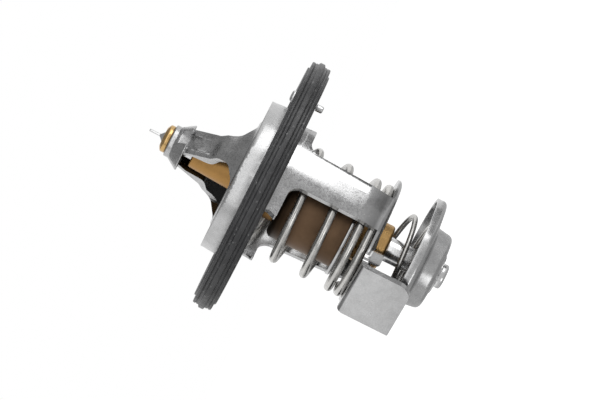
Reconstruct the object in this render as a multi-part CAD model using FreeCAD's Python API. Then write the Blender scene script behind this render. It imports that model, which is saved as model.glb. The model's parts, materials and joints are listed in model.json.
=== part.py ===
import FreeCAD, Part
import math
import os

# Engine thermostat with a wax element, a main valve and a bypass valve.
# Millimetres. +Z is the axis, from the bypass valve up to the hub of the bridge.
# The origin lies on the axis, in the plane where the two flanges meet.
# The legs of the bridge and of the frame stand along +X and -X.

V = FreeCAD.Vector
ORIGIN = V(0, 0, 0)
UP = V(0, 0, 1)

# Clearances
RUNNING = 0.05
ASSEMBLY = 0.03
CONTACT = 0.02

# Flange, shared by the bridge above and the frame below
BRIDGE_SHEET = 1.0
FRAME_SHEET = 1.2
FLANGE_RADIUS = 26.0

# Dome of the bridge
DOME_BASE_RADIUS = 17.0
DOME_TOP_RADIUS = 16.7
DOME_HEIGHT = 5.85
DOME_BASE_BEND = 1.0
DOME_CORNER = 1.0
SHOULDER_RADIUS = 11.7
SHOULDER_BEND = 1.4
FLARE_WAIST_RADIUS = 9.9
FLARE_WAIST_HEIGHT = 8.0
FLARE_BEND = 9.0
FLARE_TOP_RADIUS = 8.5
FLARE_TOP_HEIGHT = 10.8

# Windows through which the coolant leaves the dome
WINDOW_HALF_WIDTH = 9.15
WINDOW_RADIUS = 11.5
WINDOW_CORNER = 3.0
WINDOW_LEG_CORNER = 1.2

# Channel-shaped legs of the bridge and the hub that they carry
LEG_WIDTH = 5.9
LEG_FLANGE = 1.4
LEG_KNEE_RADIUS = 6.2
LEG_KNEE_RISE = 1.4
LEG_KNEE_DEPTH = 2.2
LEG_CHANNEL_DEPTH = 0.9
LEG_CHANNEL_HEAD_DEPTH = 0.35
LEG_HEAD_RADIUS = 3.5
LEG_HEAD_THICKNESS = 1.0
LEG_GUIDE_GAP = 0.4
LEG_BEND_ROUND = 2.0
LEG_HEAD_ROUND = 1.0
LEG_KNEE_HEIGHT = FLARE_TOP_HEIGHT + LEG_KNEE_RISE
HUB_RADIUS = 3.5
HUB_HEIGHT = 21.2
HUB_LENGTH = 1.1
HUB_EDGE = 0.3
HUB_NECK_HEIGHT = HUB_HEIGHT - HUB_LENGTH
SKIRT_RADIUS = 5.25
SKIRT_LENGTH = 2.65
SKIRT_SHEET = 0.9
SKIRT_EDGE = 0.2
SKIRT_NECK_ROUND = 0.8
SKIRT_HEIGHT = HUB_NECK_HEIGHT - SKIRT_LENGTH

# Brass bush in the hub and the piston that it holds
BUSH_BODY_RADIUS = 2.55
BUSH_HEAD_RADIUS = 3.0
BUSH_TOP_RADIUS = 2.1
BUSH_BODY_LENGTH = 2.0
BUSH_HEAD_LENGTH = 1.5
BUSH_STEP = 1.0
BUSH_EDGE = 0.2
BUSH_CROWN_LENGTH = 0.5
BUSH_CROWN_ROUND = 0.4
PISTON_RADIUS = 1.85
PISTON_NECK_RADIUS = 1.2
PISTON_LENGTH = 36.0
PISTON_CONE_LENGTH = 0.75
NEEDLE_RADIUS = 0.3
NEEDLE_LENGTH = 2.45
NEEDLE_TIP_ROUND = 0.25
PISTON_CONE_ROUND = 0.4
PISTON_END_ROUND = 0.8

# Rubber seal around the flange
SEAL_RADIUS = 27.8
SEAL_RIB_RADIUS = 28.3
SEAL_RIB_CREST = 1.0
SEAL_RIB_FOOT = 1.5
SEAL_INNER_RADIUS = 22.0
SEAL_LAND_HALF = 2.05
SEAL_LIP_HALF = 2.45
SEAL_STEP_RADIUS = 26.3
SEAL_GROOVE_DEPTH = 0.18
SEAL_GROOVE_WIDTH = 0.3
SEAL_GROOVE_PLACE = 1.35
SEAL_CORNER = 0.25
SEAL_RIB_ROUND = 0.1

# Lower frame
FOOT_RADIUS = 16.1
FOOT_HALF_WIDTH = 10.35
FOOT_DEPTH = 5.2
FOOT_BEND = 1.2
FOOT_CORNER = 0.4
FOOT_FILLET = 2.2
JOG_START = 3.6
JOG_END = 5.8
FRAME_LEG_RADIUS = 15.1
FRAME_LEG_WIDTH = 8.2
LEG_BEND_START = 20.2
LEG_BEND = 5.0
LEG_END_RADIUS = 14.0
PLATE_TOP = -24.85
PLATE_RADIUS = 13.9
PLATE_HOLE_RADIUS = 10.8
PLATE_BEND = 1.2

# Flap beside the bypass valve and the small claw, both bent down from the plate
FLAP_ANGLE = -70.0
FLAP_DISTANCE = 15.7
FLAP_WIDTH = 14.4
FLAP_END = -36.7
FLAP_BEND = 1.9
FLAP_ROUND_CORNER = 3.0
FLAP_SHARP_CORNER = 0.25
RELIEF_RADIUS = 0.55
CLAW_ANGLE = -39.0
CLAW_WIDTH = 2.5
CLAW_END = -28.5
CLAW_BEND = 1.3
CLAW_CORNER = 0.6

# Main spring
MAIN_WIRE = 1.85
MAIN_COIL_RADIUS = 11.92
MAIN_SIDE_SHIFT_TOP = 0.3
MAIN_SIDE_SHIFT_LOW = 0.65
MAIN_DROPS = (0, 0.023, 0.103, 0.328, 0.387, 0.612, 0.671, 0.883, 0.908, 1, 1, 1)
MAIN_HALF_TURNS = 10.15

# Both springs start here and wind down clockwise, seen from above.
# A drop is the share of the fall that is done, given at every half turn.
COIL_START_ANGLE = -117.0
POINTS_PER_HALF_TURN = 8

# Main valve
VALVE_SHEET = 1.0
VALVE_RADIUS = 13.5
VALVE_UNDERSIDE = 1.4
VALVE_RIM_TOP = 4.2
VALVE_BEND = 1.2
VALVE_SEAL_RADIUS = 14.2
VALVE_SEAL_WIDTH = 2.4
VALVE_SEAL_HEIGHT = 1.6
VALVE_SEAL_CORNER = 0.4
WASHER_RADIUS = 6.2
WASHER_THICKNESS = 0.7
CLIP_THICKNESS = 0.8
CLIP_RADIUS = 5.4
CLIP_GROOVE_DEPTH = 0.35
CLIP_MOUTH = 3.0

# Brass guide of the piston
GUIDE_HUB_GAP = 1.85
GUIDE_TOP = SKIRT_HEIGHT - GUIDE_HUB_GAP
GUIDE_EDGE = 0.2
GUIDE_TOP_ROUND = 0.4
GUIDE_TOP_RADIUS = 3.2
GUIDE_WAIST_RADIUS = 3.8
GUIDE_WAIST_HEIGHT = 5.0
GUIDE_SEAT_RADIUS = 4.2
NECK_RADIUS = 5.7
NECK_END = -6.3
GUIDE_FOOT_RADIUS = 6.9
GUIDE_FOOT_THICKNESS = 1.0
CHAMBER_RADIUS = 3.4
CHAMBER_TOP = -2.0
PACKING_THICKNESS = 1.6
SCRAPER_THICKNESS = 0.8

# Wax can with its rubber boot
CAN_RADIUS = 8.7
CAN_WALL = 0.8
CAN_TOP = -5.0
CAN_SHOULDER_END = -7.2
CAN_SHOULDER = 2.0
CAN_END = -19.7
BOOT_RADIUS = 3.2
BOOT_FLANGE_THICKNESS = 0.8
BOOT_WALL_END = 1.4
BOOT_TIP_GAP = 0.4
BOOT_END_ROUND = 1.2
BOOT_BORE_ROUND = 0.6
WAX_ROUND = 0.5
CAN_EDGE = 0.2
END_RING_RADIUS = 10.35
END_RING_THICKNESS = 0.8
END_RING_EDGE = 0.15

# Brass tail and steel stem of the bypass valve
TAIL_RADIUS = 4.9
TAIL_COLLAR_RADIUS = 5.4
TAIL_COLLAR_END = -24.4
TAIL_END = -28.8
TAIL_WALL = 0.8
TAIL_FLANGE_RADIUS = 7.8
TAIL_FLANGE_THICKNESS = 0.8
TAIL_END_THICKNESS = 2.4
TAIL_ROUND = 1.2
TAIL_EDGE = 0.15
TAIL_BORE_ROUND = 0.3
TAIL_FLOOR_ROUND = 0.5
STEM_RADIUS = 2.7
STEM_SPIGOT_RADIUS = 1.5
STEM_SPIGOT_LENGTH = 1.9
STEM_HEAD_LENGTH = 1.5
STEM_HEAD_ROUND = 0.5
STEM_SPIGOT_EDGE = 0.2

# Bypass valve disc, its clip and its spring
DISC_SHEET = 0.8
DISC_RADIUS = 14.2
DISC_RIM_TOP = -33.9
DISC_RIM_HEIGHT = 2.1
DISC_RIM_BEND = 0.9
DISC_WEB_DROP = 0.8
CUP_MOUTH_RADIUS = 8.7
CUP_END_RADIUS = 8.2
CUP_END = -40.4
CUP_CORNER = 1.2
CUP_MOUTH_BEND = 0.6
STEM_CLIP_RADIUS = 4.35
STEM_CLIP_THICKNESS = 0.5
STEM_GROOVE_DEPTH = 0.5
STEM_CLIP_MOUTH = 3.6
STEM_CLIP_MOUTH_ANGLE = 100
STEM_CLIP_NOTCH = 0.7
STEM_CLIP_NOTCH_ANGLES = (190, 235, 325, 370)
BYPASS_WIRE = 1.15
BYPASS_SMALL_RADIUS = 5.6
BYPASS_LARGE_RADIUS = 8.5
BYPASS_WIDEN_START = 0.9
BYPASS_WIDEN_END = 2.6
BYPASS_DROPS = (0, 0.014, 0.244, 0.594, 0.784, 1, 1)
BYPASS_HALF_TURNS = 6.0

# Jiggle pin that lets air out through the flange
JIGGLE_ANGLE = 63.0
JIGGLE_PLACE = 19.6
JIGGLE_SHAFT_RADIUS = 0.45
JIGGLE_HOLE_RADIUS = 0.6
JIGGLE_HEAD_RADIUS = 1.3
JIGGLE_HEAD_HEIGHT = 2.05
JIGGLE_HEAD_ROUND = 0.9
JIGGLE_FOOT_HEIGHT = 0.5
JIGGLE_FOOT_SET_BACK = 0.4
JIGGLE_BULB_EDGE = 0.25
JIGGLE_BULB_ROUND = 0.6
JIGGLE_BULB_RADIUS = 0.78
JIGGLE_BULB_TOP = -2.8
JIGGLE_BULB_END = -4.35

# Half extent of the solids that only cut or keep
BEYOND = 40.0


def in_section(across, height):
    """Point of a half section: distance from the axis, and height."""
    return V(across, 0, height)


def seen_along_x(across, height):
    """Point of an outline seen along the X axis."""
    return V(0, across, height)


def unit(a, b):
    """Direction from corner a to corner b, and their distance."""
    run = math.hypot(b[0] - a[0], b[1] - a[1])
    return (b[0] - a[0]) / run, (b[1] - a[1]) / run, run


def rounded_corner(before, corner, after):
    """Start, middle and end of the arc that rounds one corner."""
    bx, by, back = unit(corner, before)
    ax, ay, ahead = unit(corner, after)
    half = math.acos(max(-1.0, min(1.0, bx * ax + by * ay))) / 2
    radius = min(corner[2], 0.49 * min(back, ahead) * math.tan(half))
    if radius < 0.01 or half > math.radians(89.9):
        return None
    trim = radius / math.tan(half)
    mx, my, _ = unit((0, 0), (bx + ax, by + ay))
    reach = radius / math.sin(half) - radius
    start = (corner[0] + bx * trim, corner[1] + by * trim)
    middle = (corner[0] + mx * reach, corner[1] + my * reach)
    end = (corner[0] + ax * trim, corner[1] + ay * trim)
    return start, middle, end


def rounded_face(corners, place):
    """Flat face through corners (a, b, radius), each rounded by its radius."""
    arcs = []
    for i, corner in enumerate(corners):
        before = corners[i - 1]
        after = corners[(i + 1) % len(corners)]
        arcs.append(rounded_corner(before, corner, after))
    edges = []
    for i, corner in enumerate(corners):
        following = (i + 1) % len(corners)
        if arcs[i]:
            start, middle, end = (place(*point) for point in arcs[i])
            edges.append(Part.Arc(start, middle, end).toShape())
        else:
            end = place(corner[0], corner[1])
        if arcs[following]:
            target = place(*arcs[following][0])
        else:
            target = place(corners[following][0], corners[following][1])
        if end.distanceToPoint(target) > 1e-6:
            edges.append(Part.makeLine(end, target))
    return Part.Face(Part.Wire(edges))


def turned(corners):
    """Solid turned about the axis from a half section with rounded corners."""
    return rounded_face(corners, in_section).revolve(ORIGIN, UP, 360)


def sheet(path, thickness):
    """Closed corners of a bent sheet that lies on the right of its path.

    The path gives (a, b, bend radius on the path's own side)."""
    other = []
    last = len(path) - 1
    for i, corner in enumerate(path):
        into = unit(path[i - 1], corner) if i > 0 else unit(corner, path[1])
        out = unit(corner, path[i + 1]) if i < last else into
        turn = into[0] * out[1] - into[1] * out[0]
        cosine = 1 + into[0] * out[0] + into[1] * out[1]
        nx = (into[1] + out[1]) / cosine
        ny = -(into[0] + out[0]) / cosine
        radius = corner[2] + math.copysign(thickness, turn)
        if corner[2] == 0:
            radius = 0
        other.append((corner[0] + nx * thickness, corner[1] + ny * thickness, max(radius, 0)))
    return list(path) + other[::-1]


def prism(corners, place, direction):
    """Straight solid over an outline, centred on the plane of its corners."""
    face = rounded_face(corners, place)
    face.translate(direction * -0.5)
    return face.extrude(direction)


def tube(outer, inner, low, high):
    """Plain ring or tube about the axis."""
    ring = Part.makeCylinder(outer, high - low, V(0, 0, low))
    return ring.cut(Part.makeCylinder(inner, high - low, V(0, 0, low)))


def rod(radius, low, high):
    """Plain round bar on the axis."""
    return Part.makeCylinder(radius, high - low, V(0, 0, low))


def about_axis(shape, angle):
    """Copy of a shape turned about the axis."""
    copy = shape.copy()
    copy.rotate(ORIGIN, UP, angle)
    return copy


def smooth_step(value, low, high):
    """Smooth rise from 0 at low to 1 at high."""
    t = max(0.0, min(1.0, (value - low) / (high - low)))
    return t * t * (3 - 2 * t)


def wire_along(points, wire):
    """Round wire swept through the points of its centre line."""
    curve = Part.BSplineCurve()
    curve.interpolate(points)
    start = curve.value(curve.FirstParameter)
    heading = curve.tangent(curve.FirstParameter)[0]
    spine = Part.Wire([curve.toShape()])
    section = Part.Wire([Part.makeCircle(wire / 2, start, heading)])
    return spine.makePipeShell([section], True, True)


def dome_and_flange():
    """Flange, dome wall, flat shoulder and flare, all of one sheet."""
    path = [
        (FLANGE_RADIUS, BRIDGE_SHEET, 0),
        (DOME_BASE_RADIUS, BRIDGE_SHEET, DOME_BASE_BEND),
        (DOME_TOP_RADIUS, DOME_HEIGHT, DOME_CORNER),
        (SHOULDER_RADIUS, DOME_HEIGHT, SHOULDER_BEND),
        (FLARE_WAIST_RADIUS, FLARE_WAIST_HEIGHT, FLARE_BEND),
        (FLARE_TOP_RADIUS, FLARE_TOP_HEIGHT, 0),
    ]
    mirrored = [(-across, height, bend) for across, height, bend in path]
    corners = sheet(mirrored, BRIDGE_SHEET)
    return turned([(-across, height, bend) for across, height, bend in corners])


def window():
    """Space of one window, punched straight down between the two legs."""
    low = DOME_HEIGHT - 2 * BRIDGE_SHEET
    height = FLARE_TOP_HEIGHT - low + BRIDGE_SHEET
    side = LEG_WIDTH / 2
    block = Part.makeBox(2 * WINDOW_HALF_WIDTH, BEYOND, height, V(-WINDOW_HALF_WIDTH, side, low))
    space = block.common(Part.makeCylinder(WINDOW_RADIUS, height, V(0, 0, low)))
    far = [edge for edge in space.Edges if is_upright(edge, height) and not on_side(edge, side)]
    space = space.makeFillet(WINDOW_CORNER, far)
    near = [edge for edge in space.Edges if is_upright(edge, height) and on_side(edge, side)]
    return space.makeFillet(WINDOW_LEG_CORNER, near)


def is_upright(edge, height):
    """True for a straight vertical edge of the full height."""
    ends = [vertex.Point for vertex in edge.Vertexes]
    return len(ends) == 2 and abs(ends[0].z - ends[1].z) > height / 2


def on_side(edge, side):
    """True for an edge on the flat side next to a leg."""
    return abs(edge.Vertexes[0].Point.y - side) < RUNNING


def bridge_leg():
    """Leg along +X that rises from the flare to the hub, before its channel is pressed in."""
    foot_low = FLARE_TOP_HEIGHT - BRIDGE_SHEET
    guide_side = GUIDE_TOP_RADIUS + LEG_GUIDE_GAP
    corners = [
        (FLARE_TOP_RADIUS, foot_low, 0),
        (FLARE_TOP_RADIUS, FLARE_TOP_HEIGHT, 0),
        (LEG_KNEE_RADIUS, LEG_KNEE_HEIGHT, LEG_BEND_ROUND),
        (LEG_HEAD_RADIUS, SKIRT_HEIGHT, LEG_BEND_ROUND),
        (HUB_RADIUS - CONTACT, HUB_NECK_HEIGHT, 0),
        (BUSH_BODY_RADIUS - CONTACT, HUB_NECK_HEIGHT, 0),
        (LEG_HEAD_RADIUS - LEG_HEAD_THICKNESS, SKIRT_HEIGHT, LEG_HEAD_ROUND),
        (guide_side, GUIDE_TOP, LEG_BEND_ROUND),
        (LEG_KNEE_RADIUS - LEG_KNEE_DEPTH, LEG_KNEE_HEIGHT - BRIDGE_SHEET, LEG_BEND_ROUND),
        (FLARE_TOP_RADIUS - BRIDGE_SHEET, foot_low, 0),
    ]
    return prism(corners, in_section, V(0, LEG_WIDTH, 0))


def leg_channel():
    """Space pressed into the outer face of the leg along +X, deepest at the knee."""
    head = LEG_HEAD_RADIUS - LEG_CHANNEL_HEAD_DEPTH
    top = HUB_NECK_HEIGHT - 2 * HUB_EDGE
    corners = [
        (FLARE_TOP_RADIUS, FLARE_TOP_HEIGHT, 0),
        (LEG_KNEE_RADIUS - LEG_CHANNEL_DEPTH, LEG_KNEE_HEIGHT, LEG_BEND_ROUND),
        (head, SKIRT_HEIGHT, LEG_BEND_ROUND),
        (head - LEG_CHANNEL_HEAD_DEPTH, top, 0),
        (BEYOND, top, 0),
        (BEYOND, FLARE_TOP_HEIGHT, 0),
    ]
    return prism(corners, in_section, V(0, LEG_WIDTH - 2 * LEG_FLANGE, 0))


def hub():
    """Round hub with its thin conical skirt."""
    bore = BUSH_BODY_RADIUS + ASSEMBLY
    corners = [
        (SKIRT_RADIUS, SKIRT_HEIGHT, SKIRT_EDGE),
        (HUB_RADIUS, HUB_NECK_HEIGHT, SKIRT_NECK_ROUND),
        (HUB_RADIUS, HUB_HEIGHT, HUB_EDGE),
        (bore, HUB_HEIGHT, 0),
        (bore, HUB_NECK_HEIGHT - SKIRT_SHEET, 0),
        (SKIRT_RADIUS - SKIRT_SHEET, SKIRT_HEIGHT, SKIRT_EDGE),
    ]
    return turned(corners)


def jiggle_hole():
    """Space of the pin's hole through both flanges."""
    across = JIGGLE_PLACE * math.cos(math.radians(JIGGLE_ANGLE))
    along = JIGGLE_PLACE * math.sin(math.radians(JIGGLE_ANGLE))
    height = 2 * (BRIDGE_SHEET + FRAME_SHEET)
    return Part.makeCylinder(JIGGLE_HOLE_RADIUS, height, V(across, along, -height / 2))


def upper_bridge():
    """One stamping: flange, dome, two windows, two channel legs and the hub."""
    body = dome_and_flange()
    opening = window()
    body = body.cut([opening, about_axis(opening, 180)])
    leg = bridge_leg()
    body = body.fuse([leg, about_axis(leg, 180), hub()])
    channel = leg_channel()
    bore = rod(BUSH_BODY_RADIUS + ASSEMBLY, SKIRT_HEIGHT, HUB_HEIGHT + BRIDGE_SHEET)
    body = body.cut([channel, about_axis(channel, 180), bore, jiggle_hole()])
    return body.removeSplitter()


def piston_bush():
    """Flanged brass bush pressed into the hub, with a step for the piston."""
    low = HUB_HEIGHT - BUSH_BODY_LENGTH
    top = HUB_HEIGHT + BUSH_HEAD_LENGTH
    step = low + BUSH_STEP
    wide = PISTON_RADIUS + ASSEMBLY
    narrow = PISTON_NECK_RADIUS + ASSEMBLY
    corners = [
        (wide, low, 0),
        (BUSH_BODY_RADIUS, low, BUSH_EDGE),
        (BUSH_BODY_RADIUS, HUB_HEIGHT, 0),
        (BUSH_HEAD_RADIUS, HUB_HEIGHT, BUSH_EDGE),
        (BUSH_HEAD_RADIUS, top - BUSH_CROWN_LENGTH, BUSH_CROWN_ROUND),
        (BUSH_TOP_RADIUS, top, BUSH_CROWN_ROUND),
        (narrow, top, 0),
        (narrow, step, 0),
        (wide, step, 0),
    ]
    return turned(corners)


def piston():
    """Polished piston with a thin needle that leaves the bush."""
    step = HUB_HEIGHT - BUSH_BODY_LENGTH + BUSH_STEP - CONTACT
    low = step - PISTON_LENGTH
    neck = HUB_HEIGHT + BUSH_HEAD_LENGTH
    cone = neck + PISTON_CONE_LENGTH
    corners = [
        (0, low, 0),
        (PISTON_RADIUS, low, PISTON_END_ROUND),
        (PISTON_RADIUS, step, 0),
        (PISTON_NECK_RADIUS, step, 0),
        (PISTON_NECK_RADIUS, neck, BUSH_EDGE),
        (NEEDLE_RADIUS, cone, PISTON_CONE_ROUND),
        (NEEDLE_RADIUS, cone + NEEDLE_LENGTH, NEEDLE_TIP_ROUND),
        (0, cone + NEEDLE_LENGTH, 0),
    ]
    return turned(corners)


def seal_half():
    """Corners of the seal's upper half section, from the rib to the groove floor."""
    crest = SEAL_RIB_CREST / 2
    foot = SEAL_RIB_FOOT / 2
    groove = SEAL_RADIUS - SEAL_GROOVE_DEPTH
    groove_low = SEAL_GROOVE_PLACE - SEAL_GROOVE_WIDTH / 2
    groove_high = SEAL_GROOVE_PLACE + SEAL_GROOVE_WIDTH / 2
    return [
        (SEAL_RIB_RADIUS, crest, SEAL_RIB_ROUND),
        (SEAL_RADIUS, foot, SEAL_RIB_ROUND),
        (SEAL_RADIUS, groove_low, 0),
        (groove, SEAL_GROOVE_PLACE, 0),
        (SEAL_RADIUS, groove_high, 0),
        (SEAL_RADIUS, SEAL_LAND_HALF, SEAL_CORNER),
        (SEAL_STEP_RADIUS, SEAL_LAND_HALF, SEAL_RIB_ROUND),
        (SEAL_STEP_RADIUS, SEAL_LIP_HALF, SEAL_CORNER),
        (SEAL_INNER_RADIUS, SEAL_LIP_HALF, SEAL_CORNER),
    ]


def flange_seal():
    """Rubber ring of U section that grips both flanges."""
    groove = FLANGE_RADIUS + ASSEMBLY
    upper = seal_half()
    lower = [(across, -height, corner) for across, height, corner in upper[::-1]]
    slot = [
        (SEAL_INNER_RADIUS, BRIDGE_SHEET, 0),
        (groove, BRIDGE_SHEET, 0),
        (groove, -FRAME_SHEET, 0),
        (SEAL_INNER_RADIUS, -FRAME_SHEET, 0),
    ]
    return turned(upper + slot + lower)


def frame_section():
    """Corners of the frame's half section: flange, foot, leg and plate."""
    plate_low = PLATE_TOP - FRAME_SHEET
    path = [
        (FLANGE_RADIUS, -FRAME_SHEET, 0),
        (FOOT_RADIUS, -FRAME_SHEET, FOOT_BEND - FRAME_SHEET),
        (FOOT_RADIUS, -JOG_START, FOOT_BEND),
        (FRAME_LEG_RADIUS, -JOG_END, FOOT_BEND),
        (FRAME_LEG_RADIUS, -LEG_BEND_START, LEG_BEND),
        (LEG_END_RADIUS, plate_low, PLATE_BEND + FRAME_SHEET),
        (PLATE_HOLE_RADIUS, plate_low, 0),
    ]
    return sheet(path, FRAME_SHEET)


def frame_stencil():
    """Everything that the frame's flat pattern leaves standing."""
    foot = FOOT_HALF_WIDTH
    leg = FRAME_LEG_WIDTH / 2
    low = PLATE_TOP - 2 * FRAME_SHEET
    right = [
        (foot, 0, 0),
        (foot, -FOOT_DEPTH, FOOT_CORNER),
        (leg, -FOOT_DEPTH, FOOT_FILLET),
        (leg, low, 0),
    ]
    left = [(-across, height, corner) for across, height, corner in right[::-1]]
    legs = prism(right + left, seen_along_x, V(2 * BEYOND, 0, 0))
    flange = rod(BEYOND, -FRAME_SHEET, 0)
    plate = rod(PLATE_RADIUS, low, PLATE_TOP)
    return legs.fuse([flange, plate])


def bent_tab(distance, end, bend, half_width, near_corner, far_corner):
    """Tab along +X that leaves the plate and turns down, with a shaped end."""
    reach = [
        (distance - bend - FRAME_SHEET, PLATE_TOP, 0),
        (distance, PLATE_TOP, bend),
        (distance, end, 0),
    ]
    bar = prism(sheet(reach, FRAME_SHEET), in_section, V(0, 2 * half_width, 0))
    outline = [
        (half_width, PLATE_TOP, 0),
        (half_width, end, near_corner),
        (-half_width, end, far_corner),
        (-half_width, PLATE_TOP, 0),
    ]
    return bar.common(prism(outline, seen_along_x, V(2 * BEYOND, 0, 0)))


def plate_link(distance, bend, half_width):
    """Flat stretch of the plate between its round edge and a tab's bend."""
    start = PLATE_HOLE_RADIUS
    length = distance - bend - start
    return Part.makeBox(length, 2 * half_width, FRAME_SHEET, V(start, -half_width, PLATE_TOP - FRAME_SHEET))


def flap():
    """Broad flap that shields one side of the bypass valve."""
    half = FLAP_WIDTH / 2
    tab = bent_tab(FLAP_DISTANCE, FLAP_END, FLAP_BEND, half, FLAP_ROUND_CORNER, FLAP_SHARP_CORNER)
    body = tab.fuse(plate_link(FLAP_DISTANCE, FLAP_BEND, half))
    place = FLAP_DISTANCE - FLAP_BEND - RELIEF_RADIUS
    low = PLATE_TOP - 2 * FRAME_SHEET
    for side in (-half, half):
        body = body.cut(Part.makeCylinder(RELIEF_RADIUS, 3 * FRAME_SHEET, V(place, side, low)))
    return about_axis(body, FLAP_ANGLE)


def claw():
    """Small claw at the edge of the plate."""
    half = CLAW_WIDTH / 2
    tab = bent_tab(PLATE_RADIUS, CLAW_END, CLAW_BEND, half, CLAW_CORNER, CLAW_CORNER)
    return about_axis(tab, CLAW_ANGLE)


def lower_frame():
    """One stamping: flange, two feet, two legs, the spring plate, flap and claw."""
    body = turned(frame_section()).common(frame_stencil())
    body = body.fuse([flap(), claw()])
    body = body.cut([rod(PLATE_HOLE_RADIUS, PLATE_TOP - BEYOND, PLATE_TOP + FRAME_SHEET), jiggle_hole()])
    return body.removeSplitter()


def steady_slope(stations, i):
    """Slope at one station, zero at the ends and where the values stop changing."""
    if i == 0 or i == len(stations) - 1:
        return 0.0
    before = stations[i] - stations[i - 1]
    after = stations[i + 1] - stations[i]
    if before * after <= 0:
        return 0.0
    return 2 * before * after / (before + after)


def between(stations, place):
    """Smooth value between stations one step apart, without overshoot."""
    i = min(int(place), len(stations) - 2)
    share = place - i
    square = share * share
    cube = square * share
    value = stations[i] + (stations[i + 1] - stations[i]) * (3 * square - 2 * cube)
    value += steady_slope(stations, i) * (share - 2 * square + cube)
    return value + steady_slope(stations, i + 1) * (cube - square)


def wound_wire(high, low, drops, half_turns, radius_at, shift_at, wire):
    """Round wire wound down from high to low; radius and shift follow the half turns."""
    points = []
    for i in range(int(round(half_turns * POINTS_PER_HALF_TURN)) + 1):
        place = i / POINTS_PER_HALF_TURN
        angle = math.radians(COIL_START_ANGLE - 180 * place)
        height = high + (low - high) * between(drops, place)
        across = radius_at(place) * math.cos(angle)
        along = radius_at(place) * math.sin(angle) - shift_at(place)
        points.append(V(across, along, height))
    return wire_along(points, wire)


def main_shift(place):
    """Sideways shift of the main spring, larger towards its lower end."""
    return MAIN_SIDE_SHIFT_TOP + (MAIN_SIDE_SHIFT_LOW - MAIN_SIDE_SHIFT_TOP) * between(MAIN_DROPS, place)


def main_radius(place):
    """Radius of the main spring, the same all along."""
    return MAIN_COIL_RADIUS


def main_spring():
    """Coil spring between the main valve and the plate, with closed ends."""
    high = VALVE_UNDERSIDE - MAIN_WIRE / 2 - CONTACT
    low = PLATE_TOP + MAIN_WIRE / 2 + CONTACT
    return wound_wire(high, low, MAIN_DROPS, MAIN_HALF_TURNS, main_radius, main_shift, MAIN_WIRE)


def main_valve_plate():
    """Dished valve plate that carries the seal and takes the main spring."""
    path = [
        (GUIDE_SEAT_RADIUS + ASSEMBLY, VALVE_UNDERSIDE, 0),
        (VALVE_RADIUS, VALVE_UNDERSIDE, VALVE_BEND),
        (VALVE_RADIUS, VALVE_RIM_TOP, 0),
    ]
    mirrored = [(-across, height, bend) for across, height, bend in path]
    corners = sheet(mirrored, VALVE_SHEET)
    return turned([(-across, height, bend) for across, height, bend in corners])


def main_valve_seal():
    """Rubber ring that grips the rim of the valve plate."""
    top = DOME_HEIGHT - BRIDGE_SHEET - CONTACT
    low = top - VALVE_SEAL_HEIGHT
    inner = VALVE_SEAL_RADIUS - VALVE_SEAL_WIDTH
    corners = [
        (VALVE_SEAL_RADIUS, low, VALVE_SEAL_CORNER),
        (VALVE_SEAL_RADIUS, top, VALVE_SEAL_CORNER),
        (inner, top, VALVE_SEAL_CORNER),
        (inner, low, VALVE_SEAL_CORNER),
        (VALVE_RADIUS - VALVE_SHEET - ASSEMBLY, low, 0),
        (VALVE_RADIUS - VALVE_SHEET - ASSEMBLY, VALVE_RIM_TOP + ASSEMBLY, 0),
        (VALVE_RADIUS + ASSEMBLY, VALVE_RIM_TOP + ASSEMBLY, 0),
        (VALVE_RADIUS + ASSEMBLY, low, 0),
    ]
    return turned(corners)


def valve_washer():
    """Flat washer on top of the valve plate."""
    low = VALVE_UNDERSIDE + VALVE_SHEET
    return tube(WASHER_RADIUS, GUIDE_SEAT_RADIUS + ASSEMBLY, low, low + WASHER_THICKNESS)


def open_ring(outer, inner, low, high, mouth, angle):
    """Retaining ring with a mouth on one side."""
    ring = tube(outer, inner, low, high)
    slot = Part.makeBox(outer * 2, mouth, high - low, V(0, -mouth / 2, low))
    return ring.cut(about_axis(slot, angle))


def valve_clip():
    """Spring clip that holds the washer and the valve plate on the guide."""
    low = VALVE_UNDERSIDE + VALVE_SHEET + WASHER_THICKNESS
    inner = GUIDE_SEAT_RADIUS - CLIP_GROOVE_DEPTH + ASSEMBLY
    return open_ring(CLIP_RADIUS, inner, low, low + CLIP_THICKNESS, CLIP_MOUTH, FLAP_ANGLE)


def piston_guide():
    """Brass guide: tapered tube, seat of the valve, neck and crimped foot."""
    bore = PISTON_RADIUS + RUNNING
    groove_low = VALVE_UNDERSIDE + VALVE_SHEET + WASHER_THICKNESS
    groove_high = groove_low + CLIP_THICKNESS
    groove = GUIDE_SEAT_RADIUS - CLIP_GROOVE_DEPTH
    foot = NECK_END - GUIDE_FOOT_THICKNESS
    corners = [
        (bore, GUIDE_TOP, GUIDE_EDGE),
        (GUIDE_TOP_RADIUS, GUIDE_TOP, GUIDE_TOP_ROUND),
        (GUIDE_WAIST_RADIUS, GUIDE_WAIST_HEIGHT, GUIDE_EDGE),
        (GUIDE_SEAT_RADIUS, GUIDE_WAIST_HEIGHT, GUIDE_EDGE),
        (GUIDE_SEAT_RADIUS, groove_high, 0),
        (groove, groove_high, 0),
        (groove, groove_low, 0),
        (GUIDE_SEAT_RADIUS, groove_low, 0),
        (GUIDE_SEAT_RADIUS, VALVE_UNDERSIDE, 0),
        (NECK_RADIUS, VALVE_UNDERSIDE, GUIDE_EDGE),
        (NECK_RADIUS, NECK_END, 0),
        (GUIDE_FOOT_RADIUS, NECK_END, GUIDE_EDGE),
        (GUIDE_FOOT_RADIUS, foot, 0),
        (CHAMBER_RADIUS, foot, 0),
        (CHAMBER_RADIUS, CHAMBER_TOP, 0),
        (bore, CHAMBER_TOP, 0),
    ]
    return turned(corners)


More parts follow.
